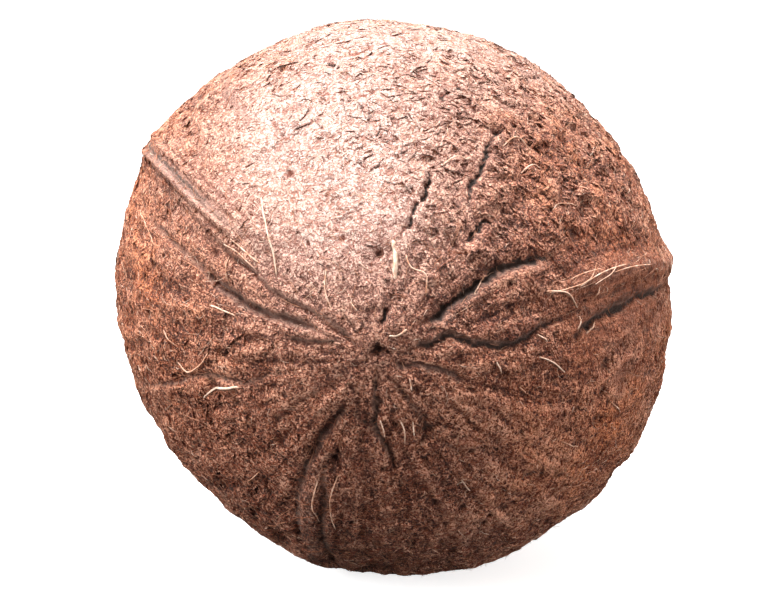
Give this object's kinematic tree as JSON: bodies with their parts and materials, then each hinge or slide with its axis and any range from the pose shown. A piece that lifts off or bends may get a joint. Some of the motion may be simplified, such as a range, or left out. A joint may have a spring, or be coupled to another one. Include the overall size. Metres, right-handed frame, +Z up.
{
  "type": "coconut",
  "caption": "Whole coconut with its husk pulled off, lying on its side: a slightly oval brown fibrous shell with low seams and furrows that meet at the apex.",
  "frame": {"origin": "under the middle of the nut, on the surface that it lies on", "axes": "+Z up, +Y along the nut's long axis from the apex to the stem end, +X across it"},
  "size_m": [0.117, 0.1236, 0.1149],
  "materials": {
    "coir_shell": "dry, matte, reddish-brown matted fibre"
  },
  "bodies": {
    "root": {"coconut": "coir_shell"}
  },
  "joints": []
}
